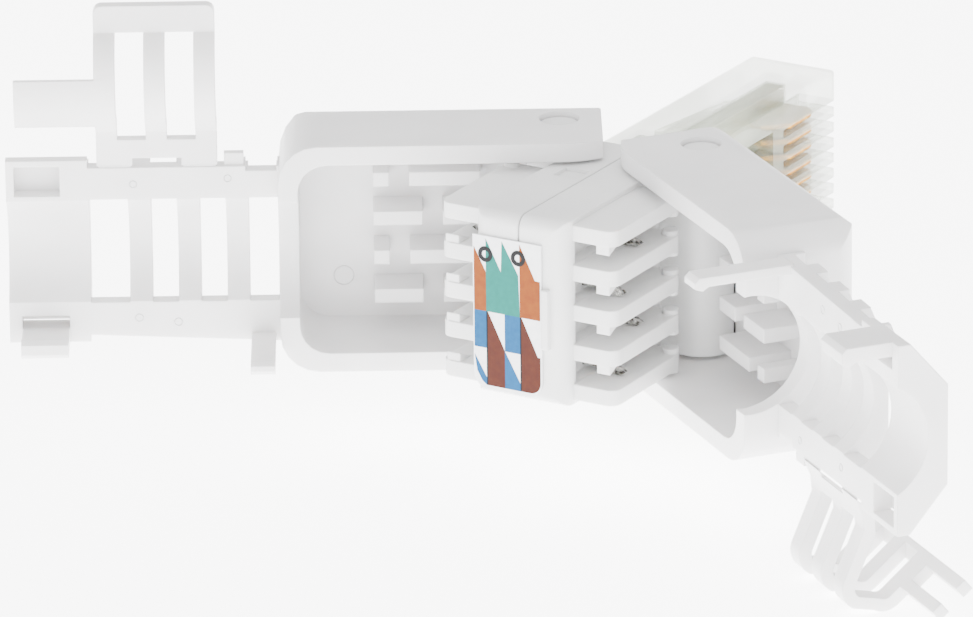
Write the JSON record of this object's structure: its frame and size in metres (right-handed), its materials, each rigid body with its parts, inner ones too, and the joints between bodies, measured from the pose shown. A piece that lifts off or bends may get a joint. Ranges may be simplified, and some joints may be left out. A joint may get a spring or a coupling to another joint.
{
  "type": "modular plug",
  "caption": "Tool-free modular data plug, opened for wiring: clear nose with gold contacts, colour-coded wiring block and hinged white shells with cable straps.",
  "frame": {"origin": "centre of the flat front face of the nose, on the plug's long axis", "axes": "+Y is the way the plug goes into its jack, +X the side with the contacts, +Z across the width"},
  "size_m": [0.0673, 0.045, 0.0287],
  "materials": {
    "moulded_clear": "clear",
    "moulded_white": "satin",
    "moulded_white_block": "satin",
    "board_laminate": "satin",
    "gold_plate": "polished",
    "tin_plate": "satin",
    "coated_paper": "satin"
  },
  "bodies": {
    "core": {"nose_housing": "moulded_clear", "circuit_board": "board_laminate", "block_half_right": "moulded_white_block", "block_half_left": "moulded_white_block", "wiring_label": "coated_paper", "contact_1": "gold_plate", "contact_2": "gold_plate", "contact_3": "gold_plate", "contact_4": "gold_plate", "contact_5": "gold_plate", "contact_6": "gold_plate", "contact_7": "gold_plate", "contact_8": "gold_plate", "idc_1": "tin_plate", "idc_2": "tin_plate", "idc_3": "tin_plate", "idc_4": "tin_plate", "idc_5": "tin_plate", "idc_6": "tin_plate", "idc_7": "tin_plate", "idc_8": "tin_plate"},
    "left_shell": {"left_shell": "moulded_white"},
    "right_shell": {"right_shell": "moulded_white"},
    "left_strap": {"left_strap": "moulded_white"},
    "right_strap": {"right_strap": "moulded_white"},
    "latch_lever": {"latch_lever": "moulded_clear"}
  },
  "joints": [
    {"name": "left_shell_hinge", "type": "hinge", "parent": "core", "child": "left_shell", "pos_m": [-0.005, -0.0204, 0], "axis": [0, 0, 1], "range_deg": [-5, 58.8]},
    {"name": "right_shell_hinge", "type": "hinge", "parent": "core", "child": "right_shell", "pos_m": [0.005, -0.0204, 0], "axis": [0, 0, 1], "range_deg": [-53.2, 10]},
    {"name": "left_strap_hinge", "type": "hinge", "parent": "left_shell", "child": "left_strap", "pos_m": [-0.00358, -0.02275, 0.00545], "axis": [0.8554, 0.518, 0], "range_deg": [0, 180], "stiffness_Nm_per_rad": 0.0001},
    {"name": "right_strap_hinge", "type": "hinge", "parent": "right_shell", "child": "right_strap", "pos_m": [0.00335, -0.0226, -0.00545], "axis": [-0.8007, 0.599, 0], "range_deg": [0, 60], "stiffness_Nm_per_rad": 0.0001},
    {"name": "latch_hinge", "type": "hinge", "parent": "core", "child": "latch_lever", "pos_m": [-0.00295, -0.001, 0], "axis": [0, 0, 1], "range_deg": [0, 8], "stiffness_Nm_per_rad": 0.02}
  ]
}
